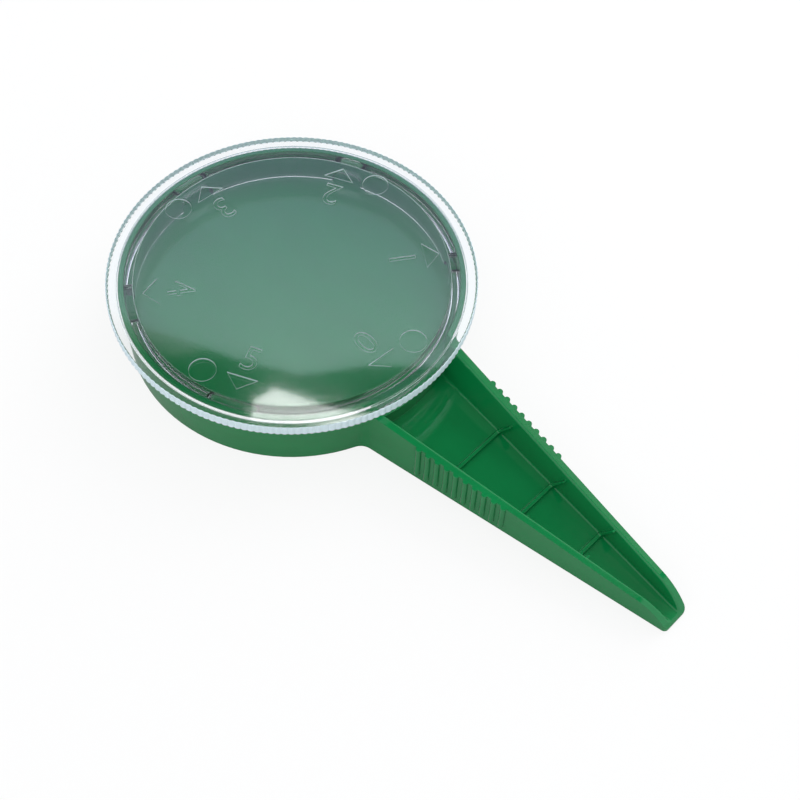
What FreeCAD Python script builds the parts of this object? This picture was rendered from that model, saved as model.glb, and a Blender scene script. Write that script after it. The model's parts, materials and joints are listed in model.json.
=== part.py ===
import FreeCAD, Part

import math
import os
import re

import Sketcher
from FreeCAD import Placement, Rotation, Vector

# Dial seed sower: a green cup with a pouring trough moulded to its side, and a clear dial that
# turns in the cup's mouth. The dial's collar shuts the way from the seed chamber to the trough
# except where one of its notches, each wider than the last, stands at the mouth.
#
# +Z is up and +X runs along the trough. The sketches are drawn from the cup's axis, and each body's
# placement then puts the origin on the table under the middle of the whole sower.
# Lengths are in millimetres and angles in degrees.

SIZES = (
    ("cup_rim_radius", 35.1, "outside of the cup at its rim"),
    ("cup_height", 14.0, "foot to rim"),
    ("cup_draft", 0.85, "how much smaller the cup is at its foot, on the radius"),
    ("cup_wall", 1.2, "cup's wall at the rim"),
    ("rim_bevel", 0.25, "edges of the rim"),
    ("chamber_floor", 7.3, "height of the seed chamber's floor"),
    ("floor_thickness", 1.5, "chamber floor, down to the hollow under it"),
    ("foot_width", 1.4, "foot of the cup's wall, round the hollow"),
    ("recess_draft", 0.4, "how far the hollow narrows towards its roof"),
    ("gate_angle", 185.5, "where the mould's gate left its nub on the cup"),
    ("gate_width", 2.5, "nub, along the wall"),
    ("gate_stand", 0.75, "nub, out from the rim"),
    ("gate_length", 3.0, "nub, up and down"),
    ("gate_drop", 1.7, "top of the nub, below the rim"),
    ("trough_length", 65.6, "cup's rim to the tip of the trough"),
    ("trough_overlap", 10.1, "how far the trough's block starts inside the cup's rim"),
    ("trough_root_half", 12.0, "half width of the trough at the cup's rim"),
    ("trough_tip_half", 3.1, "half width of the trough at its tip"),
    ("tip_corner", 1.0, "corners of the tip, seen from above"),
    ("junction_round", 3.0, "hollow corner between the cup and the trough"),
    ("wall_root", 1.75, "thickness of the trough's walls at the cup, on top"),
    ("wall_tip", 1.4, "thickness of the trough's walls at the tip, on top"),
    ("wall_lean", 8.0, "how far the inner faces of the walls lean, in degrees"),
    ("wall_top_round", 0.5, "inner edges of the walls' tops"),
    ("wall_height_root", 11.6, "top of the walls at the cup"),
    ("wall_height_nose", 5.0, "top of the walls where the nose starts to curve down"),
    ("nose_length", 7.2, "curved end of the walls"),
    ("nose_height", 0.6, "thickness left at the very tip"),
    ("bed_root", 3.5, "height of the trough's floor at the cup"),
    ("bed_tip", 1.2, "height of the trough's floor at the tip"),
    ("bed_round", 0.5, "foot of the walls, inside the trough"),
    ("rib_count", 10, "finger ribs on each side"),
    ("rib_start", 9.8, "cup's rim to the first rib"),
    ("rib_pitch", 2.15, "rib to rib"),
    ("rib_radius", 0.62, "half-round rib"),
    ("rib_foot", 1.7, "height where the ribs start"),
    ("ridge_start", 15.05, "cup's rim to the first bar across the trough's floor"),
    ("ridge_first_pitch", 15.35, "first bar to the second"),
    ("ridge_second_pitch", 13.55, "second bar to the third"),
    ("ridge_width", 0.7, "bar, along the trough"),
    ("ridge_height", 0.65, "bar, up from the floor and in from the walls"),
    ("ridge_rise", 4.2, "how far up the walls a bar runs"),
    ("ridge_lean", 2.8, "how far it leans to the tip on the way"),
    ("disc_thickness", 1.15, "clear disc"),
    ("face_gap", 0.1, "disc over the rim, and collar over the chamber's floor"),
    ("fit_clearance", 0.09, "collar in the bore, on the radius"),
    ("collar_wall", 1.6, "collar"),
    ("ring_gap", 0.3, "grip ring round the rim, on the radius"),
    ("ring_width", 2.1, "grip ring"),
    ("ring_height", 2.6, "grip ring, from the disc's top to its lower edge"),
    ("knurl_count", 180, "grooves round the grip ring"),
    ("knurl_depth", 0.35, "groove, into the ring"),
    ("knurl_width", 0.9, "groove, round the ring"),
    ("dial_angle", -5.4, "where the dial's blank mark, 0, stands from the trough"),
    ("notch_spacing", 60.0, "mark to mark"),
    ("notch_first_width", 5.0, "notch at mark 1"),
    ("notch_width_step", 1.5, "each further notch is this much wider"),
    ("notch_first_height", 2.6, "notch at mark 1"),
    ("notch_height_step", 0.6, "each further notch is this much higher"),
    ("notch_corner", 1.9, "upper corners of a notch"),
)
NOTCHES = 5
MARGIN = "2"        # how far a cutting shape runs past what it cuts

# Places that several features share, as expressions of the sizes.
BASE_RADIUS = "(cup_rim_radius - cup_draft)"
BORE_RADIUS = "(cup_rim_radius - cup_wall)"
RECESS_RADIUS = f"({BASE_RADIUS} - foot_width)"
RECESS_ROOF = "(chamber_floor - floor_thickness)"
ABOVE = f"(cup_height + {MARGIN})"

ROOT = "(cup_rim_radius - trough_overlap)"
TIP = "(cup_rim_radius + trough_length)"
BEYOND = f"({TIP} + {MARGIN})"
NOSE_START = f"({TIP} - nose_length)"
FIRST_RIB = "(cup_rim_radius + rib_start)"
FIRST_RIDGE = "(cup_rim_radius + ridge_start)"
SECOND_RIDGE = f"({FIRST_RIDGE} + ridge_first_pitch)"
THIRD_RIDGE = f"({SECOND_RIDGE} + ridge_second_pitch)"

TAPER = "((trough_root_half - trough_tip_half) / trough_length)"
WALL_THINNING = "((wall_root - wall_tip) / trough_length)"
TOP_SLOPE = "((wall_height_root - wall_height_nose) / (trough_length - nose_length))"
BED_SLOPE = "((bed_root - bed_tip) / trough_length)"

DISC_UNDERSIDE = "(cup_height + face_gap)"
DISC_TOP = f"({DISC_UNDERSIDE} + disc_thickness)"
COLLAR_OUTER = f"({BORE_RADIUS} - fit_clearance)"
COLLAR_INNER = f"({COLLAR_OUTER} - collar_wall)"
COLLAR_FOOT = "(chamber_floor + face_gap)"
RING_INNER = "(cup_rim_radius + ring_gap)"
RING_OUTER = f"({RING_INNER} + ring_width)"
RING_FOOT = f"({DISC_TOP} - ring_height)"
AXIS_SHIFT = f"({RING_OUTER} - {TIP}) / 2"      # puts the origin under the middle of the whole

DOC = FreeCAD.newDocument("dial_seed_sower")
SHEET = DOC.addObject("Spreadsheet::Sheet", "sizes")
NAMES = {name for name, number, note in SIZES}


def fill_sheet():
    """Writes each size in a cell of its own, under its name."""
    for row, (name, number, note) in enumerate(SIZES, start=1):
        SHEET.set(f"A{row}", name)
        SHEET.set(f"B{row}", str(number))
        SHEET.setAlias(f"B{row}", name)
        SHEET.set(f"C{row}", note)
    DOC.recompute()


def value(expression):
    """What an expression of the sizes comes to."""
    return float(SHEET.evalExpression(expression))


def bound(expression):
    """The expression with each size's name pointing at its cell."""
    return re.sub(r"[a-z_0-9]+", lambda word: f"sizes.{word[0]}" if word[0] in NAMES else word[0], expression)


def outer_half(along):
    """Half width of the trough's outside at a place along it."""
    return f"(trough_root_half - {TAPER} * ({along} - cup_rim_radius))"


def top_height(along):
    """Height of the wall's straight top at a place along the trough."""
    return f"(wall_height_root - {TOP_SLOPE} * ({along} - cup_rim_radius))"


def bed_height(along):
    """Height of the trough's floor at a place along it."""
    return f"(bed_root - {BED_SLOPE} * ({along} - cup_rim_radius))"


def inner_half(along, height):
    """Half width between the walls' leaning inner faces, at a place along the trough and a height."""
    wall = f"(wall_root - {WALL_THINNING} * ({along} - cup_rim_radius))"
    return f"({outer_half(along)} - {wall} - tan(wall_lean) * ({top_height(along)} - {height}))"


def make_body(name):
    """A body whose label is its node's name."""
    body = DOC.addObject("PartDesign::Body", name)
    body.Label = name
    body.setExpression("Placement.Base.x", bound(AXIS_SHIFT))
    return body


def make_sketch(body, name, role, offset="0"):
    """A sketch on one of the body's own planes, moved along that plane's normal."""
    plane = next(item for item in body.Origin.OriginFeatures if item.Role == role)
    sketch = body.newObject("Sketcher::SketchObject", name)
    sketch.AttachmentSupport = (plane, [""])
    sketch.MapMode = "FlatFace"
    sketch.setExpression("AttachmentOffset.Base.z", bound(offset))
    return sketch


def turn_sketch(sketch, axis, angle):
    """Turns a sketch about one of its plane's own axes, by an angle worked out from the sizes."""
    start = sketch.AttachmentOffset.Base
    sketch.AttachmentOffset = Placement(start, Rotation(axis, value(angle)))
    sketch.setExpression("AttachmentOffset.Rotation.Angle", bound(angle))


def constrain(sketch, kind, places, expression):
    """A dimension bound to the sizes."""
    index = sketch.addConstraint(Sketcher.Constraint(kind, *places, value(expression)))
    sketch.setExpression(f"Constraints[{index}]", bound(expression))


def pin(sketch, line, end, across, up):
    """Puts one end of a line at a place given by two expressions."""
    constrain(sketch, "DistanceX", (-1, 1, line, end), across)
    constrain(sketch, "DistanceY", (-1, 1, line, end), up)


def draw_outline(sketch, points):
    """A closed outline of straight lines through points given as pairs of expressions."""
    places = [Vector(value(across), value(up), 0) for across, up in points]
    following = places[1:] + places[:1]
    first = len(sketch.Geometry)
    for start, end in zip(places, following):
        sketch.addGeometry(Part.LineSegment(start, end))
    for index, (across, up) in enumerate(points):
        line = first + index
        neighbour = first + (index + 1) % len(points)
        sketch.addConstraint(Sketcher.Constraint("Coincident", line, 2, neighbour, 1))
        pin(sketch, line, 1, across, up)


def mirrored(point):
    """The same point on the other side of a sketch's upright axis."""
    return Vector(-point.x, point.y, 0)


def draw_circle(sketch, across, up, radius):
    """A circle given by three expressions."""
    centre = Vector(value(across), value(up), 0)
    index = sketch.addGeometry(Part.Circle(centre, Vector(0, 0, 1), value(radius)))
    pin(sketch, index, 3, across, up)
    constrain(sketch, "Radius", (index,), radius)


def add_feature(body, kind, name, sketch, length=None, **settings):
    """A PartDesign feature made from a sketch, with its length bound to the sizes."""
    feature = body.newObject(f"PartDesign::{kind}", name)
    feature.Profile = sketch
    if length is not None:
        feature.setExpression("Length", bound(length))
    for setting, choice in settings.items():
        setattr(feature, setting, choice)
    sketch.Visibility = False
    DOC.recompute()
    return feature


def spin(body, kind, name, sketch):
    """A Revolution or a Groove all the way round the Z axis."""
    return add_feature(body, kind, name, sketch, ReferenceAxis=(sketch, ["V_Axis"]), Angle=360)


def round_edges(body, name, chosen, radius):
    """Fillets the edges of the body's last feature that the test chooses."""
    base = body.Tip
    names = [f"Edge{index}" for index, edge in enumerate(base.Shape.Edges, start=1) if chosen(edge)]
    if not names:
        raise RuntimeError(f"{name}: no edge to round")
    fillet = body.newObject("PartDesign::Fillet", name)
    fillet.Base = (base, names)
    fillet.setExpression("Radius", bound(radius))
    DOC.recompute()
    return fillet


def ends(edge):
    """The first and last points of an edge."""
    return edge.valueAt(edge.FirstParameter), edge.valueAt(edge.LastParameter)


def flat_radius(point):
    """Distance of a point from the Z axis."""
    return Vector(point.x, point.y, 0).Length


def trough_block(body):
    """The trough's outside, tapering to a tip with rounded corners."""
    plan = make_sketch(body, "trough_plan", "XY_Plane")
    draw_outline(plan, (
        (ROOT, f"-{outer_half(ROOT)}"),
        (TIP, "-trough_tip_half"),
        (TIP, "trough_tip_half"),
        (ROOT, outer_half(ROOT)),
    ))
    add_feature(body, "Pad", "trough_outside", plan, "cup_height")

    def is_tip_corner(edge):
        first, last = ends(edge)
        return min(first.x, last.x) > value(TIP) - 0.01 and abs(first.z - last.z) > 1

    round_edges(body, "tip_corners", is_tip_corner, "tip_corner")


def finger_ribs(body, side, label):
    """A row of half-round ribs up one side wall, square to the base."""
    slant = f"({side}) * -atan({TAPER})"
    sketch = make_sketch(body, f"{label}_rib", "XY_Plane", "rib_foot")
    turn_sketch(sketch, Vector(0, 0, 1), slant)
    sketch.setExpression("AttachmentOffset.Base.x", bound(FIRST_RIB))
    sketch.setExpression("AttachmentOffset.Base.y", bound(f"({side}) * {outer_half(FIRST_RIB)}"))
    draw_circle(sketch, "0", "0", "rib_radius")
    rib = add_feature(body, "Pad", f"{label}_first_rib", sketch, "cup_height - rib_foot")
    row = body.newObject("PartDesign::LinearPattern", f"{label}_rib_row")
    row.Originals = [rib]
    row.Direction = (sketch, ["H_Axis"])
    row.setExpression("Length", bound(f"(rib_count - 1) * rib_pitch / cos(atan({TAPER}))"))
    row.setExpression("Occurrences", bound("rib_count"))
    body.Tip = row
    DOC.recompute()


def slope_walls(body):
    """Cuts the block's top to the straight slope that ends in the curve of the nose."""
    sketch = make_sketch(body, "wall_profile", "XZ_Plane")
    corners = (
        (TIP, "nose_height"),
        (NOSE_START, "wall_height_nose"),
        (ROOT, top_height(ROOT)),
        (ROOT, ABOVE),
        (BEYOND, ABOVE),
        (BEYOND, "nose_height"),
    )
    places = [Vector(value(across), value(up), 0) for across, up in corners]
    tip, start, root = places[:3]
    along = (start - root).normalize()
    square = Vector(along.y, -along.x, 0)
    chord = tip - start
    radius = chord.Length ** 2 / (2 * chord.dot(square))
    middle = start + square * radius
    bow = middle + ((start + tip) * 0.5 - middle).normalize() * radius
    sketch.addGeometry(Part.Arc(tip, bow, start))
    for first, second in zip(places[1:], places[2:] + places[:1]):
        sketch.addGeometry(Part.LineSegment(first, second))
    sketch.addConstraint(Sketcher.Constraint("Tangent", 0, 2, 1, 1))
    for piece in range(1, len(corners)):
        following = (piece + 1) % len(corners)
        sketch.addConstraint(Sketcher.Constraint("Coincident", piece, 2, following, 1))
    for piece, (across, up) in enumerate(corners):
        pin(sketch, piece, 1, across, up)
    add_feature(body, "Pocket", "wall_tops", sketch, f"4 * {outer_half(ROOT)}", Midplane=True)


def channel_section(body, name, along, bottom, inset="0"):
    """One cross-section of the space between the walls: open at the top, with rounded feet."""
    floor = f"({bottom} + {inset})"
    corner = f"({inner_half(along, floor)} - {inset})"
    high = f"({inner_half(along, ABOVE)} - {inset})"
    sketch = make_sketch(body, name, "YZ_Plane", along)
    foot = Vector(value(corner), value(floor), 0)
    crest = Vector(value(high), value(ABOVE), 0)
    radius = value("bed_round")
    run = radius * math.tan(math.radians(45 - value("wall_lean") / 2))
    on_floor = foot - Vector(run, 0, 0)
    on_wall = foot + (crest - foot).normalize() * run
    centre = on_floor + Vector(0, radius, 0)
    on_arc = centre + (foot - centre).normalize() * radius
    sketch.addGeometry(Part.LineSegment(mirrored(on_floor), on_floor))
    sketch.addGeometry(Part.Arc(on_floor, on_arc, on_wall))
    sketch.addGeometry(Part.LineSegment(on_wall, crest))
    sketch.addGeometry(Part.LineSegment(crest, mirrored(crest)))
    sketch.addGeometry(Part.LineSegment(mirrored(crest), mirrored(on_wall)))
    sketch.addGeometry(Part.Arc(mirrored(on_wall), mirrored(on_arc), mirrored(on_floor)))
    for joint in ((0, 2, 1, 1), (5, 2, 0, 1), (1, 2, 2, 1), (4, 2, 5, 1)):
        sketch.addConstraint(Sketcher.Constraint("Tangent", *joint))
    for joint in ((2, 2, 3, 1), (3, 2, 4, 1)):
        sketch.addConstraint(Sketcher.Constraint("Coincident", *joint))
    sketch.addConstraint(Sketcher.Constraint("Horizontal", 0))
    constrain(sketch, "DistanceY", (-1, 1, 0, 1), floor)
    pin(sketch, 3, 1, high, ABOVE)
    pin(sketch, 3, 2, f"-{high}", ABOVE)
    constrain(sketch, "Radius", (1,), "bed_round")
    constrain(sketch, "Radius", (5,), "bed_round")
    for wall, sign in ((2, 1), (4, -1)):
        aim = sketch.addGeometry(Part.Point(Vector(sign * foot.x, foot.y, 0)), True)
        pin(sketch, aim, 1, f"({sign}) * {corner}", floor)
        sketch.addConstraint(Sketcher.Constraint("PointOnObject", aim, 1, wall))
    return sketch


def cut_channel(body, name, start, end, inset="0"):
    """Cuts the space between the walls from one place along it to another, over a given bottom."""
    first = channel_section(body, f"{name}_start", *start, inset)
    second = channel_section(body, f"{name}_end", *end, inset)
    feature = body.newObject("PartDesign::SubtractiveLoft", name)
    feature.Profile = first
    feature.Sections = [second]
    feature.Ruled = True
    DOC.recompute()


def cross_ridge(body, name, place):
    """One low bar over the floor that leans towards the tip as it runs up both walls."""
    floor = bed_height(place)
    crest = f"({floor} + ridge_rise)"
    root = f"({floor} - bed_tip / 2)"
    sketch = make_sketch(body, f"{name}_profile", "XZ_Plane")
    draw_outline(sketch, (
        (f"({place} - ridge_width / 2)", root),
        (f"({place} + ridge_width / 2)", root),
        (f"({place} + ridge_width / 2)", floor),
        (f"({place} + ridge_lean + ridge_width / 4)", crest),
        (f"({place} + ridge_lean - ridge_width / 4)", crest),
        (f"({place} - ridge_width / 2)", floor),
    ))
    add_feature(body, "Pad", name, sketch, f"2 * {outer_half(place)} - wall_tip", Midplane=True)


def hollow_trough(body):
    """The channel that the seeds run down, open at the tip, with three thin bars left standing in it."""
    start = (ROOT, bed_height(ROOT))
    end = (BEYOND, bed_height(BEYOND))
    cut_channel(body, "channel", start, end)

    def is_inner_edge(edge):
        root, nose = sorted(ends(edge), key=lambda point: point.x)
        straight = abs(root.x - value(ROOT)) < 0.01 and abs(nose.x - value(NOSE_START)) < 0.01
        on_top = abs(root.z - value(top_height(ROOT))) < 0.01
        inside = abs(root.y) < value(f"{outer_half(ROOT)} - wall_root / 2")
        return straight and on_top and inside

    round_edges(body, "wall_top_rounds", is_inner_edge, "wall_top_round")
    cross_ridge(body, "first_ridge", FIRST_RIDGE)
    cross_ridge(body, "second_ridge", SECOND_RIDGE)
    cross_ridge(body, "third_ridge", THIRD_RIDGE)
    cut_channel(body, "ridge_tops", start, end, "ridge_height")


def cup_shell(body):
    """The drafted cup with its seed chamber above the floor and a hollow below it."""
    outside = make_sketch(body, "cup_profile", "XZ_Plane")
    draw_outline(outside, (
        ("0", "0"),
        (BASE_RADIUS, "0"),
        ("cup_rim_radius", "(cup_height - rim_bevel)"),
        ("(cup_rim_radius - rim_bevel)", "cup_height"),
        ("0", "cup_height"),
    ))
    spin(body, "Revolution", "cup_outside", outside)
    chamber = make_sketch(body, "chamber_profile", "XZ_Plane")
    draw_outline(chamber, (
        ("0", "chamber_floor"),
        (BORE_RADIUS, "chamber_floor"),
        (BORE_RADIUS, "(cup_height - rim_bevel)"),
        (f"({BORE_RADIUS} + rim_bevel)", "cup_height"),
        (f"({BORE_RADIUS} + rim_bevel)", ABOVE),
        ("0", ABOVE),
    ))
    spin(body, "Groove", "seed_chamber", chamber)
    recess = make_sketch(body, "recess_profile", "XZ_Plane")
    draw_outline(recess, (
        ("0", f"-{MARGIN}"),
        (RECESS_RADIUS, f"-{MARGIN}"),
        (RECESS_RADIUS, "0"),
        (f"({RECESS_RADIUS} - recess_draft)", RECESS_ROOF),
        ("0", RECESS_ROOF),
    ))
    spin(body, "Groove", "underside_recess", recess)


def open_mouth(body):
    """Takes the cup's wall away between the trough's walls, down to the chamber's floor."""
    outside = f"(cup_rim_radius + {MARGIN})"
    cut_channel(body, "mouth", (ROOT, "chamber_floor"), (outside, "chamber_floor"))


def round_junctions(body):
    """Rounds the hollow corners where the trough's walls leave the cup."""
    def is_junction(edge):
        first, last = ends(edge)
        upright = abs(first.z - last.z) > value("wall_height_root") / 2
        radii = [flat_radius(point) for point in (first, last)]
        on_cup = value(BASE_RADIUS) - 0.01 < min(radii) and max(radii) < value("cup_rim_radius") + 0.01
        on_wall = all(abs(abs(point.y) - value(outer_half(str(point.x)))) < 0.01 for point in (first, last))
        return upright and on_cup and on_wall

    round_edges(body, "junction_rounds", is_junction, "junction_round")


def gate_nub(body):
    """The small nub that the mould's gate leaves on the cup's wall."""
    sketch = make_sketch(body, "gate_plan", "XY_Plane", "(cup_height - gate_drop - gate_length)")
    turn_sketch(sketch, Vector(0, 0, 1), "gate_angle")
    inner = "(cup_rim_radius - cup_wall / 2)"
    outer = "(cup_rim_radius + gate_stand)"
    draw_outline(sketch, (
        (inner, "-gate_width / 2"),
        (outer, "-gate_width / 3"),
        (outer, "gate_width / 3"),
        (inner, "gate_width / 2"),
    ))
    add_feature(body, "Pad", "gate", sketch, "gate_length")


def make_sower_body():
    """The green moulding: cup, trough, finger ribs and everything cut into them."""
    body = make_body("sower_body")
    trough_block(body)
    finger_ribs(body, "1", "left")
    finger_ribs(body, "-1", "right")
    slope_walls(body)
    hollow_trough(body)
    cup_shell(body)
    open_mouth(body)
    round_junctions(body)
    gate_nub(body)
    return body


def cut_notch(body, number):
    """The notch at one mark: an arch in the collar's lower edge, wider at each mark."""
    sketch = make_sketch(body, f"notch_{number}_profile", "YZ_Plane")
    turn_sketch(sketch, Vector(0, 1, 0), f"dial_angle + {number} * notch_spacing")
    half = f"(notch_first_width + {number - 1} * notch_width_step) / 2"
    top = f"({COLLAR_FOOT} + notch_first_height + {number - 1} * notch_height_step)"
    below = f"({COLLAR_FOOT} - face_gap)"
    draw_outline(sketch, ((f"-{half}", below), (half, below), (half, top), (f"-{half}", top)))
    reach = f"({COLLAR_OUTER} + {RING_INNER}) / 2"
    add_feature(body, "Pocket", f"notch_{number}", sketch, reach, Reversed=True)


def knurl_ring(body):
    """Fine upright grooves all round the grip ring, for the fingers."""
    sketch = make_sketch(body, "knurl_groove", "XY_Plane", f"({RING_FOOT} - {MARGIN})")
    turn_sketch(sketch, Vector(0, 0, 1), "180 / knurl_count")
    outside = f"({RING_OUTER} + knurl_depth)"
    draw_outline(sketch, (
        (f"({RING_OUTER} - knurl_depth)", "0"),
        (outside, "-knurl_width"),
        (outside, "knurl_width"),
    ))
    groove = add_feature(body, "Pocket", "first_groove", sketch, f"(ring_height + 2 * {MARGIN})", Reversed=True)
    round_ring = body.newObject("PartDesign::PolarPattern", "grooves")
    round_ring.Originals = [groove]
    round_ring.Axis = (sketch, ["N_Axis"])
    round_ring.Angle = 360
    round_ring.setExpression("Occurrences", bound("knurl_count"))
    body.Tip = round_ring
    DOC.recompute()


def make_clear_dial():
    """The clear moulding: disc, collar with its notches, and grip ring."""
    body = make_body("clear_dial")
    profile = make_sketch(body, "dial_profile", "XZ_Plane")
    draw_outline(profile, (
        ("0", DISC_UNDERSIDE),
        (COLLAR_INNER, DISC_UNDERSIDE),
        (COLLAR_INNER, COLLAR_FOOT),
        (COLLAR_OUTER, COLLAR_FOOT),
        (COLLAR_OUTER, DISC_UNDERSIDE),
        (RING_INNER, DISC_UNDERSIDE),
        (RING_INNER, RING_FOOT),
        (RING_OUTER, RING_FOOT),
        (RING_OUTER, DISC_TOP),
        ("0", DISC_TOP),
    ))
    spin(body, "Revolution", "dial_turned", profile)
    for number in range(1, NOTCHES + 1):
        cut_notch(body, number)

    def is_notch_corner(edge):
        low = value(COLLAR_FOOT) + 0.5
        high = value(DISC_UNDERSIDE) - 0.5
        across = [flat_radius(point) for point in ends(edge)]
        return all(low < point.z < high for point in ends(edge)) and abs(across[0] - across[1]) > 1

    round_edges(body, "notch_corners", is_notch_corner, "notch_corner")
    knurl_ring(body)
    return body


def check(bodies):
    """Stops if anything in the document failed, or a piece isn't one sound solid."""
    for item in DOC.Objects:
        if "Invalid" in item.State or "Error" in item.State:
            raise RuntimeError(f"{item.Name} failed: {item.State}")
    for body in bodies:
        shape = body.Shape
        if shape.isNull() or not shape.isValid() or len(shape.Solids) != 1:
            raise RuntimeError(f"{body.Label} is not one sound solid")
        box = shape.BoundBox
        print(body.Label, f"{shape.Volume:.1f} mm3", f"{box.XLength:.2f} x {box.YLength:.2f} x {box.ZLength:.2f}")


def main():
    fill_sheet()
    bodies = [make_sower_body(), make_clear_dial()]
    DOC.recompute()
    check(bodies)
    os.makedirs("parts", exist_ok=True)
    for body in bodies:
        body.Shape.exportStep(f"parts/{body.Label}.step")


main()
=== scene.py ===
"""Dial seed sower: a green cup and trough, under a clear dial with numbered notches.

The frame is that of the solids, in metres: +X along the trough, +Z up. The green moulding is the
solid itself. The clear dial is built here again on the same sizes, in millimetres about its own
axis, with the small rounds, the knurl and the engraved marks that clear plastic needs to catch
the light. It is brought to metres at the end.
"""

import json
import math

import bmesh
import bpy
from mathutils import Matrix, Vector


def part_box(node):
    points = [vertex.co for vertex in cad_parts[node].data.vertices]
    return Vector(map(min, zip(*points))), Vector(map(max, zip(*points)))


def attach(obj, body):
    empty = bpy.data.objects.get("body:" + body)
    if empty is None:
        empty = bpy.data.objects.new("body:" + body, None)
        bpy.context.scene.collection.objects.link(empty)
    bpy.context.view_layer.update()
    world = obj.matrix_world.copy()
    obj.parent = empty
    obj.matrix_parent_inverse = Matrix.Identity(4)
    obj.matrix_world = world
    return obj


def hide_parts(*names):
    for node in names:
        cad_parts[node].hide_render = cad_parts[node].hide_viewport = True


MM = 0.001


def in_millimetres(measure):
    """A measure of the frame in millimetres, without the small error of its mesh."""
    return round(measure / MM, 2)


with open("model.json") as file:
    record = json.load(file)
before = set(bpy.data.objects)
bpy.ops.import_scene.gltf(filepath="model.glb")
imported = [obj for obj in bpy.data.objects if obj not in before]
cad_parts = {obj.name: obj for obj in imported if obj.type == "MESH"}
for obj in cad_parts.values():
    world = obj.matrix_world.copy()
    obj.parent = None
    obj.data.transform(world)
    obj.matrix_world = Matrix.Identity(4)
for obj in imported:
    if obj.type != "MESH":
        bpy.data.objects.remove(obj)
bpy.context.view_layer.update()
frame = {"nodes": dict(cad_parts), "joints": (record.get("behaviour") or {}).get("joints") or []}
turn_joint = next(joint for joint in frame["joints"] if joint["name"] == "dial_turn")
dial_low, dial_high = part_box("clear_dial")

DISC_THICKNESS = 1.15
RING_WIDTH = 2.1
RING_HEIGHT = 2.6
RIM_ROOM = 1.59         # between ring and collar, for the cup's wall
COLLAR_WALL = 1.6

# The dial, in millimetres from its axis and from the table.
AXIS_X = in_millimetres(turn_joint["pos_m"][0])
DISC_TOP = in_millimetres(dial_high.z)
DISC_UNDERSIDE = DISC_TOP - DISC_THICKNESS
RING_OUTER = in_millimetres((dial_high.y - dial_low.y) / 2)
RING_INNER = RING_OUTER - RING_WIDTH
RING_FOOT = DISC_TOP - RING_HEIGHT
COLLAR_OUTER = RING_INNER - RIM_ROOM
COLLAR_INNER = COLLAR_OUTER - COLLAR_WALL
COLLAR_FOOT = in_millimetres(dial_low.z)

FOOT_ROUND = 0.7        # the collar's lower edge is nearly a half-round
SMALL_ROUND = 0.15
BROAD_ROUND = 0.4       # rounds from this size up get more steps
SMALL_ROUND_STEPS = 4
BROAD_ROUND_STEPS = 10

KNURL_COUNT = 180
KNURL_DEPTH = 0.22
KNURL_STEPS = 8         # around the dial, to each tooth
KNURL_FADE = 0.5        # the width over which the knurl runs out inwards
GROOVE_SHARE = 0.7      # of the pitch

DIAL_ANGLE = -5.4       # where mark 0 stands, in degrees from the trough
MARK_SPACING = 60.0
MARKS = 6

NOTCH_WIDTH = 5.0       # at mark 1
NOTCH_WIDTH_STEP = 1.5
NOTCH_HEIGHT = 2.6      # at mark 1
NOTCH_HEIGHT_STEP = 0.6
NOTCH_CORNER = 1.9
NOTCH_SPARE_BELOW = 1.0     # how far the cutter runs past the collar
NOTCH_SPARE_INSIDE = 2.0

ENGRAVING = 0.35        # depth of the marks in the disc
DIGIT_HEIGHT = 5.8
DIGIT_SHARE = 0.73      # a digit's height as a share of the font's size
DIGIT_STEPS = 6         # to each curve of the font
DIGIT_RADIUS = 22.4
POINTER_TIP = 30.2      # the triangle outside each digit
POINTER_BASE = 27.1
POINTER_HALF = 3.2
EJECTOR_RADIUS = 2.7    # round marks left by the mould's ejector pins
EJECTOR_PLACE = 29.3
EJECTOR_ANGLE = 14.5    # from mark 0 to the first of them
EJECTORS = 4
EJECTOR_STEPS = 48

MERGE_DISTANCE = 0.0001     # for the points that a digit's front and side share
LEVEL = 0.9999          # a face is level from this much of its normal along Z
UPRIGHT = 0.1           # and upright below this much
HARD_EDGE = 28          # degrees
TOUCH = 0.02            # how near counts as on a surface

# How much the faces of the dial scatter the light.
ENGRAVING_FROST = 0.8
COLLAR_FROST = 0.04
KNURL_FROST = 0.9

# Linear colours.
WHITE = (1, 1, 1, 1)
GREEN_DEEP = (0.0020, 0.172, 0.045, 1)
GREEN_BRIGHT = (0.0030, 0.196, 0.053, 1)
CLEAR_DEEP = (0.965, 0.988, 0.995, 1)
CLEAR_BRIGHT = (0.980, 0.995, 1.000, 1)
FROST_BLUE = (0.76, 0.91, 1.0, 1)

PAPER_DARK = 0.60       # what the floor's fibres give back, from here
PAPER_LIGHT = 0.64      # to here
PAPER_LIFT = 0.2        # what it gives back besides, to the eye
PAPER_GLOW = 0.85       # how much of what the eye sees is plain white

GREEN_IOR = 1.5         # polypropylene
CLEAR_IOR = 1.59        # polystyrene


# ---------------------------------------------------------------- meshes

def link(name, content):
    """A new object in the scene that holds a mesh, curve, lamp or camera."""
    made = bpy.data.objects.new(name, content)
    bpy.context.scene.collection.objects.link(made)
    return made


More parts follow.
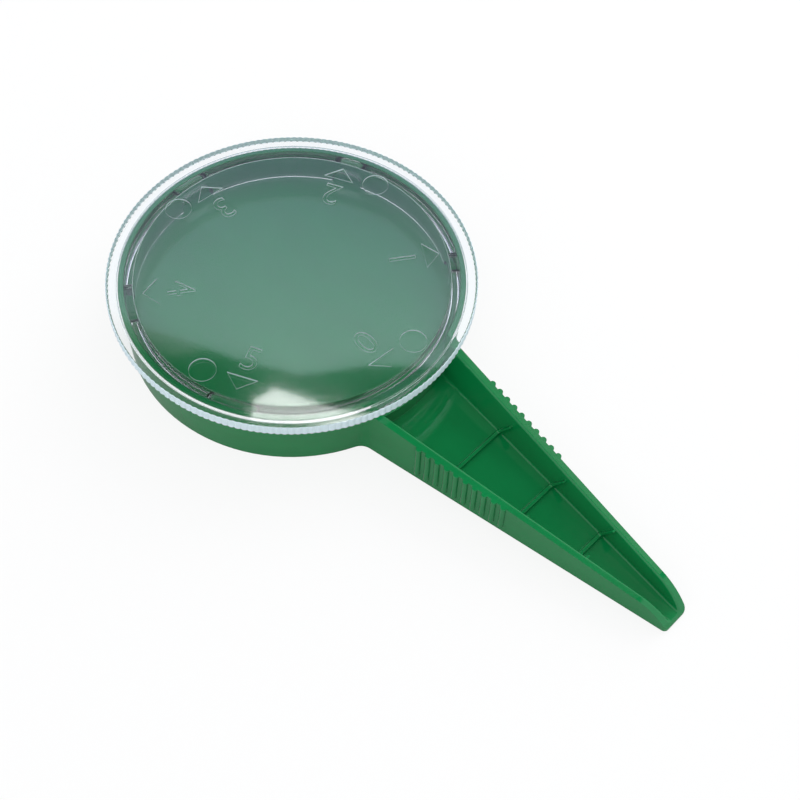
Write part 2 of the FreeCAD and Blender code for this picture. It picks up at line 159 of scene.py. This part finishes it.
def rounded(corners):
    """An outline of (across, up, radius) corners, with an arc at each that has a radius."""
    outline = []
    count = len(corners)
    for index, (across, up, radius) in enumerate(corners):
        here = Vector((across, up))
        if not radius:
            outline.append(here)
            continue
        before = (Vector(corners[index - 1][:2]) - here).normalized()
        after = (Vector(corners[(index + 1) % count][:2]) - here).normalized()
        half = before.angle(after) / 2
        centre = here + (before + after).normalized() * radius / math.sin(half)
        start = here + before * radius / math.tan(half) - centre
        end = here + after * radius / math.tan(half) - centre
        sweep = start.angle_signed(end)
        steps = SMALL_ROUND_STEPS if radius < BROAD_ROUND else BROAD_ROUND_STEPS
        for step in range(steps + 1):
            turn = Matrix.Rotation(-sweep * step / steps, 2)
            outline.append(centre + turn @ start)
    return outline


def knurl(angle):
    """How far the grip ring's edge is cut back at an angle, in millimetres."""
    place = (angle / (2 * math.pi) * KNURL_COUNT + 0.5) % 1.0
    return KNURL_DEPTH * max(0.0, 1.0 - abs(place - 0.5) * 2 / GROOVE_SHARE)


def dial_blank():
    """The dial turned round its axis, without its notches and marks."""
    profile = rounded((
        (COLLAR_INNER, DISC_UNDERSIDE, 2 * SMALL_ROUND),
        (COLLAR_INNER, COLLAR_FOOT, FOOT_ROUND),
        (COLLAR_OUTER, COLLAR_FOOT, FOOT_ROUND),
        (COLLAR_OUTER, DISC_UNDERSIDE, SMALL_ROUND),
        (RING_INNER, DISC_UNDERSIDE, SMALL_ROUND),
        (RING_INNER, RING_FOOT, SMALL_ROUND),
        (RING_OUTER, RING_FOOT, FOOT_ROUND),
        (RING_OUTER, DISC_TOP, SMALL_ROUND),
        (0.0, DISC_TOP, 0.0),
        (0.0, DISC_UNDERSIDE, 0.0),
    ))
    rings = profile[:-2]        # the two places on the axis only steer the rounds next to them
    segments = KNURL_COUNT * KNURL_STEPS
    work = bmesh.new()
    hoops = []
    for across, up in rings:
        fade = max(0.0, (across - RING_OUTER) / KNURL_FADE + 1.0)
        hoop = []
        for segment in range(segments):
            angle = 2 * math.pi * segment / segments
            radius = across - knurl(angle) * fade
            hoop.append(work.verts.new((radius * math.cos(angle), radius * math.sin(angle), up)))
        hoops.append(hoop)
    for lower, upper in zip(hoops, hoops[1:]):
        for segment in range(segments):
            following = (segment + 1) % segments
            work.faces.new((lower[segment], lower[following], upper[following], upper[segment]))
    work.faces.new(hoops[0])
    work.faces.new(list(reversed(hoops[-1])))
    bmesh.ops.recalc_face_normals(work, faces=work.faces)
    mesh = bpy.data.meshes.new("clear_dial_moulding")
    work.to_mesh(mesh)
    work.free()
    return mesh


def prism(outline, low, high):
    """A closed block between two heights, over an outline of (x, y) places."""
    work = bmesh.new()
    bottom = [work.verts.new((x, y, low)) for x, y in outline]
    top = [work.verts.new((x, y, high)) for x, y in outline]
    work.faces.new(list(reversed(bottom)))
    work.faces.new(top)
    for index in range(len(outline)):
        following = (index + 1) % len(outline)
        work.faces.new((bottom[index], bottom[following], top[following], top[index]))
    bmesh.ops.recalc_face_normals(work, faces=work.faces)
    mesh = bpy.data.meshes.new("block")
    work.to_mesh(mesh)
    work.free()
    return mesh


def engraved(outline):
    """A cutter as deep as the marks, over an outline of (x, y) places."""
    return prism(outline, DISC_TOP - ENGRAVING, DISC_TOP + ENGRAVING)


def final_mesh(thing):
    """A new mesh of an object, with its modifiers or its curve worked out."""
    bpy.context.view_layer.update()
    depsgraph = bpy.context.evaluated_depsgraph_get()
    return bpy.data.meshes.new_from_object(thing.evaluated_get(depsgraph))


def digit(number):
    """A cutter for one digit, upright on the XY plane with its middle at the origin."""
    curve = bpy.data.curves.new(f"digit_{number}", "FONT")
    curve.body = str(number)
    curve.align_x = "CENTER"
    curve.size = DIGIT_HEIGHT / DIGIT_SHARE
    curve.extrude = ENGRAVING
    curve.resolution_u = DIGIT_STEPS
    holder = link(f"digit_{number}", curve)
    mesh = final_mesh(holder)
    bpy.data.objects.remove(holder)
    work = bmesh.new()
    work.from_mesh(mesh)
    bmesh.ops.remove_doubles(work, verts=work.verts, dist=MERGE_DISTANCE)
    bmesh.ops.translate(work, verts=work.verts, vec=(0, -DIGIT_HEIGHT / 2, DISC_TOP))
    work.to_mesh(mesh)
    work.free()
    return mesh


def notch(number):
    """A cutter for the arch in the collar's foot at one mark, along +X."""
    half = (NOTCH_WIDTH + (number - 1) * NOTCH_WIDTH_STEP) / 2
    top = COLLAR_FOOT + NOTCH_HEIGHT + (number - 1) * NOTCH_HEIGHT_STEP
    arch = rounded((
        (-half, COLLAR_FOOT - NOTCH_SPARE_BELOW, 0.0),
        (half, COLLAR_FOOT - NOTCH_SPARE_BELOW, 0.0),
        (half, top, NOTCH_CORNER),
        (-half, top, NOTCH_CORNER),
    ))
    inside = COLLAR_INNER - NOTCH_SPARE_INSIDE
    outside = (COLLAR_OUTER + RING_INNER) / 2
    mesh = prism([tuple(place) for place in arch], inside, outside)
    on_its_side = Matrix(((0, 0, 1, 0), (1, 0, 0, 0), (0, 1, 0, 0), (0, 0, 0, 1)))
    mesh.transform(on_its_side)     # up turns to +X, and the arch stands on the YZ plane
    return mesh


def turned(mesh, degrees, out=0.0):
    """The mesh moved out along +X and then turned about the dial's axis."""
    turn = Matrix.Rotation(math.radians(degrees), 4, "Z")
    mesh.transform(turn @ Matrix.Translation((out, 0, 0)))
    return mesh


def circle(radius, steps):
    """An outline of (x, y) places round the origin."""
    angles = [2 * math.pi * step / steps for step in range(steps)]
    return [(radius * math.cos(angle), radius * math.sin(angle)) for angle in angles]


def cutters():
    """Everything that is cut out of the turned blank, as one mesh."""
    tools = []
    pointer = ((POINTER_TIP, 0), (POINTER_BASE, POINTER_HALF), (POINTER_BASE, -POINTER_HALF))
    for number in range(MARKS):
        angle = DIAL_ANGLE + number * MARK_SPACING
        figure = digit(number)
        figure.transform(Matrix.Rotation(math.radians(90), 4, "Z"))
        tools.append(turned(figure, angle, DIGIT_RADIUS))
        tools.append(turned(engraved(pointer), angle))
        if number:      # mark 0 closes the cup
            tools.append(turned(notch(number), angle))
    for number in range(EJECTORS):
        place = DIAL_ANGLE + EJECTOR_ANGLE + 360 / EJECTORS * number
        mark = engraved(circle(EJECTOR_RADIUS, EJECTOR_STEPS))
        tools.append(turned(mark, place, EJECTOR_PLACE))
    work = bmesh.new()
    for mesh in tools:
        work.from_mesh(mesh)
    joined = bpy.data.meshes.new("dial_cutters")
    work.to_mesh(joined)
    work.free()
    return joined


def smooth_by_angle(mesh):
    """Smooth shading off the level faces, with a hard line at each sharp edge."""
    work = bmesh.new()
    work.from_mesh(mesh)
    for face in work.faces:
        face.smooth = abs(face.normal.z) < LEVEL
    for edge in work.edges:
        paired = len(edge.link_faces) == 2
        edge.smooth = paired and edge.calc_face_angle() < math.radians(HARD_EDGE)
    work.to_mesh(mesh)
    work.free()


def frosting(place, normal):
    """How much a face scatters the light, from where it is and which way it looks."""
    radius = Vector(place[:2]).length
    if radius < COLLAR_INNER - TOUCH:
        beside_mark = abs(normal.z) < UPRIGHT and place.z > DISC_TOP - ENGRAVING
        return ENGRAVING_FROST if beside_mark else 0.0
    if radius < COLLAR_OUTER + TOUCH:
        return COLLAR_FROST if place.z < DISC_UNDERSIDE else 0.0
    return KNURL_FROST if radius > RING_OUTER - KNURL_DEPTH - TOUCH else 0.0


def mark_frosted(mesh):
    """Keeps how much each face scatters the light, for the material to read."""
    frosted = mesh.attributes.new("frosted", "FLOAT", "FACE")
    for face in mesh.polygons:
        frosted.data[face.index].value = frosting(face.center, face.normal)


def make_dial():
    """The clear dial as one closed mesh, in metres and in its place."""
    dial = link("clear_dial_moulding", dial_blank())
    tool = link("dial_cutters", cutters())
    cut = dial.modifiers.new("cut", "BOOLEAN")
    cut.operation = "DIFFERENCE"
    cut.solver = "EXACT"
    cut.object = tool
    mesh = final_mesh(dial)
    dial.modifiers.clear()
    bpy.data.objects.remove(tool)
    dial.data = mesh
    mark_frosted(mesh)
    mesh.transform(Matrix.Scale(MM, 4) @ Matrix.Translation((AXIS_X, 0, 0)))
    smooth_by_angle(mesh)
    return dial


# ---------------------------------------------------------------- materials

class Nodes:
    """Short calls for building a node tree."""

    def __init__(self, tree):
        self.tree = tree
        tree.nodes.clear()

    def add(self, kind, inputs=None, **settings):
        """A new node; each input is linked where a socket is given, and set otherwise."""
        node = self.tree.nodes.new(f"ShaderNode{kind}")
        for setting, choice in settings.items():
            setattr(node, setting, choice)
        for socket, given in (inputs or {}).items():
            if isinstance(given, bpy.types.NodeSocket):
                self.tree.links.new(given, node.inputs[socket])
            else:
                node.inputs[socket].default_value = given
        return node

    def calculate(self, operation, *values):
        """What an operation makes of two or three values."""
        node = self.add("Math", dict(enumerate(values)), operation=operation)
        return node.outputs["Value"]

    def dot(self, one, other):
        """How far two directions agree."""
        node = self.add("VectorMath", {0: one, 1: other}, operation="DOT_PRODUCT")
        return node.outputs["Value"]

    def spread(self, value, from_min=0.0, from_max=1.0, to_min=0.0, to_max=1.0):
        """A value brought from one range to another, and held inside it."""
        ends = {"From Min": from_min, "From Max": from_max, "To Min": to_min, "To Max": to_max}
        return self.add("MapRange", {"Value": value, **ends}).outputs["Result"]

    def noise(self, place, scale, detail):
        """Noise from 0 to 1 over the places given."""
        inputs = {"Vector": place, "Scale": scale, "Detail": detail}
        return self.add("TexNoise", inputs).outputs["Fac"]

    def mix(self, share, one, other):
        """One colour where the share is 0 and the other where it is 1."""
        inputs = {"Fac": share, "Color1": one, "Color2": other}
        return self.add("MixRGB", inputs).outputs["Color"]

    def bump(self, height, strength, distance, normal=None):
        """A normal that follows a height, over another normal if one is given."""
        inputs = {"Height": height, "Strength": strength, "Distance": distance}
        if normal is not None:
            inputs["Normal"] = normal
        return self.add("Bump", inputs).outputs["Normal"]

    def emission(self, colour, strength):
        """A surface that glows."""
        inputs = {"Color": colour, "Strength": strength}
        return self.add("Emission", inputs).outputs["Emission"]

    def background(self, colour, strength):
        """What the world shines with."""
        inputs = {"Color": colour, "Strength": strength}
        return self.add("Background", inputs).outputs["Background"]


def new_material(name):
    """A material with an empty node tree."""
    material = bpy.data.materials.new(name)
    material.use_nodes = True
    return material, Nodes(material.node_tree)


def green_plastic():
    """Moulded polypropylene: a deep green with faint flow marks and a soft gloss."""
    material, nodes = new_material("green_plastic_gloss")
    place = nodes.add("TexCoord").outputs["Object"]
    flow = nodes.add("Mapping", {"Vector": place, "Scale": (60, 160, 160)}).outputs["Vector"]
    cloud = nodes.noise(flow, scale=1.0, detail=3.0)
    grain = nodes.noise(place, scale=2600.0, detail=2.0)
    waves = nodes.noise(place, scale=70.0, detail=1.0)
    tint = nodes.add("ValToRGB", {"Fac": cloud})
    deep, bright = tint.color_ramp.elements
    deep.position = 0.3
    deep.color = GREEN_DEEP
    bright.position = 0.75
    bright.color = GREEN_BRIGHT
    edges = nodes.add("Bevel", {"Radius": 0.00012}, samples=6).outputs["Normal"]
    grained = nodes.bump(grain, strength=0.10, distance=0.00002, normal=edges)
    shader = nodes.add("BsdfPrincipled", {
        "Base Color": tint.outputs["Color"],
        "Roughness": nodes.spread(grain, to_min=0.06, to_max=0.13),
        "IOR": GREEN_IOR,
        "Normal": nodes.bump(waves, strength=0.5, distance=0.0001, normal=grained),
    })
    nodes.add("OutputMaterial", {"Surface": shader.outputs["BSDF"]})
    return material


def clear_plastic():
    """Clear polystyrene, very faintly blue, with the slight waviness of a thin moulding."""
    material, nodes = new_material("clear_plastic_gloss")
    place = nodes.add("TexCoord").outputs["Object"]
    waves = nodes.noise(place, scale=45.0, detail=1.0)
    scuffs = nodes.noise(place, scale=900.0, detail=4.0)
    frosted = nodes.add("Attribute", attribute_name="frosted").outputs["Fac"]
    clean = nodes.spread(scuffs, to_min=0.01, to_max=0.05)
    tint = nodes.add("ValToRGB", {"Fac": waves})
    deep, bright = tint.color_ramp.elements
    deep.color = CLEAR_DEEP
    bright.color = CLEAR_BRIGHT
    shader = nodes.add("BsdfPrincipled", {
        "Base Color": nodes.mix(frosted, tint.outputs["Color"], FROST_BLUE),
        "Roughness": nodes.calculate("MULTIPLY_ADD", frosted, 0.4, clean),
        "IOR": CLEAR_IOR,
        "Transmission Weight": nodes.spread(frosted, to_min=1.0, to_max=0.12),
        "Normal": nodes.bump(waves, strength=0.3, distance=0.00003),
    })
    nodes.add("OutputMaterial", {"Surface": shader.outputs["BSDF"]})
    return material


def white_paper():
    """White paper: shows as white to the eye, and keeps a faint shadow."""
    material, nodes = new_material("white_paper")
    paths = nodes.add("LightPath").outputs
    seen = nodes.calculate("MAXIMUM", paths["Is Camera Ray"], paths["Is Transmission Ray"])
    place = nodes.add("TexCoord").outputs["Object"]
    fibre = nodes.noise(place, scale=400.0, detail=3.0)
    dull = nodes.spread(fibre, to_min=PAPER_DARK, to_max=PAPER_LIGHT)
    white = nodes.calculate("MULTIPLY_ADD", seen, PAPER_LIFT, dull)
    paper = nodes.add("BsdfDiffuse", {"Color": white}).outputs["BSDF"]
    glow = nodes.emission(WHITE, 1.0)
    share = nodes.calculate("MULTIPLY", seen, PAPER_GLOW)
    mixed = nodes.add("MixShader", {0: share, 1: paper, 2: glow}).outputs["Shader"]
    nodes.add("OutputMaterial", {"Surface": mixed})
    return material


# ---------------------------------------------------------------- studio

# Directions are an azimuth, counted from +X, and an elevation, in degrees, seen from the dial.
# The panels are mirrored in the disc, and their corners follow the edges of what it shows.
BACK_CARD = (
    (112, 38),
    (116, 53.6),
    (127, 54.3),
    (132.5, 54.5),
    (137, 54.8),
    (140.7, 54.1),
    (146.8, 52.3),
    (152, 49.5),
    (154, 38),
)
BACK_CARD_FOOT = (0.16, 0.06, 0.40, 1)
BACK_CARD_HEAD = (0.75, 0.93, 1.0, 1)
SIDE_CARD = (
    (109.5, 58.8),
    (109.5, 60.3),
    (104.5, 61.0),
    (97, 62.3),
    (86, 62.9),
    (86, 60.3),
    (100, 59.5),
)
TOP_LIGHT = (
    (138.6, 55.3),
    (135.7, 55.9),
    (132.4, 56.3),
    (130.6, 57.0),
    (132.0, 57.1),
    (136.0, 56.6),
    (140.3, 56.4),
    (140.1, 55.7),
)
PANEL_DISTANCE = 60.0   # metres, so that the panels look alike from all over the part

# What shiny surfaces see: white walls, and a dim patch above and beside the backdrop.
BACKDROP_TOP = (53.2, 53.8)                 # elevations between which the wall turns dim
BACKDROP_SIDE = (0.355, -0.761, 0.543)      # the way off the backdrop, over its slanting edge
BACKDROP_SIDE_BLUR = 0.01
DIM_PATCH = (118, 62)                       # the direction of the patch's middle
DIM_PATCH_EDGE = (0.90, 0.92)               # the cosines between which it fades in
DIM_COLOUR = (0.05, 0.055, 0.06, 1)
WALL_COLOUR = (0.90, 0.95, 1.0, 1)

# What matt surfaces get.
EVEN_COLOUR = (0.97, 0.99, 1.0, 1)
EVEN_STRENGTH = 0.95

FLOOR_HALF = 6.0        # metres

# The camera, at the photograph's viewing angle, in metres and in millimetres of lens.
CAMERA_PLACE = (0.1141, -0.13503, 0.26097)
CAMERA_RIGHT = (0.7283, 0.6845, 0.0323)
CAMERA_UP = (-0.5791, 0.5896, 0.5631)
CAMERA_BACK = (0.3664, -0.4288, 0.8258)
CAMERA_LENS = 70.16
CAMERA_SENSOR = 36.0


def make_floor():
    """A plain pale floor that runs past every view."""
    near, far = -FLOOR_HALF, FLOOR_HALF
    mesh = bpy.data.meshes.new("studio_floor")
    places = [(near, near, 0), (far, near, 0), (far, far, 0), (near, far, 0)]
    mesh.from_pydata(places, [], [(0, 1, 2, 3)])
    floor = link("studio_floor", mesh)
    mesh.materials.append(white_paper())


def direction(azimuth, elevation):
    """A unit vector from an azimuth and an elevation."""
    around, up = math.radians(azimuth), math.radians(elevation)
    flat = math.cos(up)
    return Vector((math.cos(around) * flat, math.sin(around) * flat, math.sin(up)))


def make_world():
    """White walls for shiny surfaces, an even light for matt ones, and white for the eye."""
    world = bpy.data.worlds.new("studio")
    bpy.context.scene.world = world
    world.use_nodes = True
    nodes = Nodes(world.node_tree)
    towards = nodes.add("TexCoord").outputs["Generated"]
    height = nodes.add("SeparateXYZ", {"Vector": towards}).outputs["Z"]
    low, high = (math.sin(math.radians(elevation)) for elevation in BACKDROP_TOP)
    above = nodes.spread(height, from_min=low, from_max=high)
    slant = nodes.dot(towards, BACKDROP_SIDE)
    beside = nodes.spread(slant, from_min=-BACKDROP_SIDE_BLUR, from_max=BACKDROP_SIDE_BLUR)
    off_backdrop = nodes.calculate("MAXIMUM", above, beside)
    near = nodes.dot(towards, direction(*DIM_PATCH))
    patch = nodes.spread(near, from_min=DIM_PATCH_EDGE[0], from_max=DIM_PATCH_EDGE[1])
    dim = nodes.calculate("MULTIPLY", off_backdrop, patch)
    walls = nodes.mix(dim, WALL_COLOUR, DIM_COLOUR)
    paths = nodes.add("LightPath").outputs
    room_colour = nodes.mix(paths["Is Camera Ray"], walls, WHITE)
    first = nodes.calculate("MAXIMUM", paths["Is Camera Ray"], paths["Is Glossy Ray"])
    seen = nodes.calculate("MAXIMUM", first, paths["Is Transmission Ray"])
    even = nodes.background(EVEN_COLOUR, EVEN_STRENGTH)
    room = nodes.background(room_colour, 1.0)
    mixed = nodes.add("MixShader", {0: seen, 1: even, 2: room}).outputs["Shader"]
    nodes.add("OutputWorld", {"Surface": mixed})


def light_panel(name, places, strength, grade=None):
    """A glowing panel far over the dial, white or graded between two colours, foot and head."""
    middle = Vector((AXIS_X * MM, 0, 0))
    corners = [middle + direction(*place) * PANEL_DISTANCE for place in places]
    mesh = bpy.data.meshes.new(name)
    mesh.from_pydata(corners, [], [range(len(corners))])
    material, nodes = new_material(name)
    colour = WHITE
    if grade:
        inside = nodes.add("TexCoord").outputs["Generated"]
        height = nodes.add("SeparateXYZ", {"Vector": inside}).outputs["Z"]
        colour = nodes.mix(height, *grade)
    nodes.add("OutputMaterial", {"Surface": nodes.emission(colour, strength)})
    mesh.materials.append(material)
    link(name, mesh)


def softbox(name, azimuth, elevation, distance, size, power):
    """An area lamp that looks at the dial and isn't mirrored in it."""
    lamp = bpy.data.lights.new(name, "AREA")
    lamp.shape = "SQUARE"
    lamp.size = size
    lamp.energy = power
    holder = link(name, lamp)
    back = direction(azimuth, elevation)
    holder.location = Vector((AXIS_X * MM, 0, 0)) + back * distance
    holder.rotation_mode = "QUATERNION"
    holder.rotation_quaternion = back.to_track_quat("Z", "Y")
    holder.visible_glossy = False
    holder.visible_transmission = False


def make_camera():
    """The camera, at the photograph's viewing angle."""
    data = bpy.data.cameras.new("camera")
    data.sensor_width = CAMERA_SENSOR
    data.lens = CAMERA_LENS
    camera = link("camera", data)
    turn = Matrix((CAMERA_RIGHT, CAMERA_UP, CAMERA_BACK)).transposed()
    camera.location = CAMERA_PLACE
    camera.rotation_mode = "QUATERNION"
    camera.rotation_quaternion = turn.to_quaternion()
    bpy.context.scene.camera = camera


def dress():
    """Puts the green on the solid, and the clear dial in its place."""
    body = frame["nodes"]["sower_body"]
    body.data.materials.clear()
    body.data.materials.append(green_plastic())
    dial = make_dial()
    dial.data.materials.append(clear_plastic())
    dial.visible_diffuse = False    # it shades the floor, but adds no second light to it
    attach(dial, "dial")
    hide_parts("clear_dial")


make_camera()
make_floor()
make_world()
softbox("key_lamp", azimuth=92, elevation=27, distance=0.9, size=0.70, power=5.0)
softbox("fill_lamp", azimuth=-75, elevation=30, distance=1.3, size=0.7, power=2.0)
light_panel("top_light", TOP_LIGHT, strength=6.5)
light_panel("side_card", SIDE_CARD, strength=1.4)
light_panel("back_card", BACK_CARD, strength=1.5, grade=(BACK_CARD_FOOT, BACK_CARD_HEAD))
dress()
bpy.context.scene.view_settings.view_transform = "Standard"
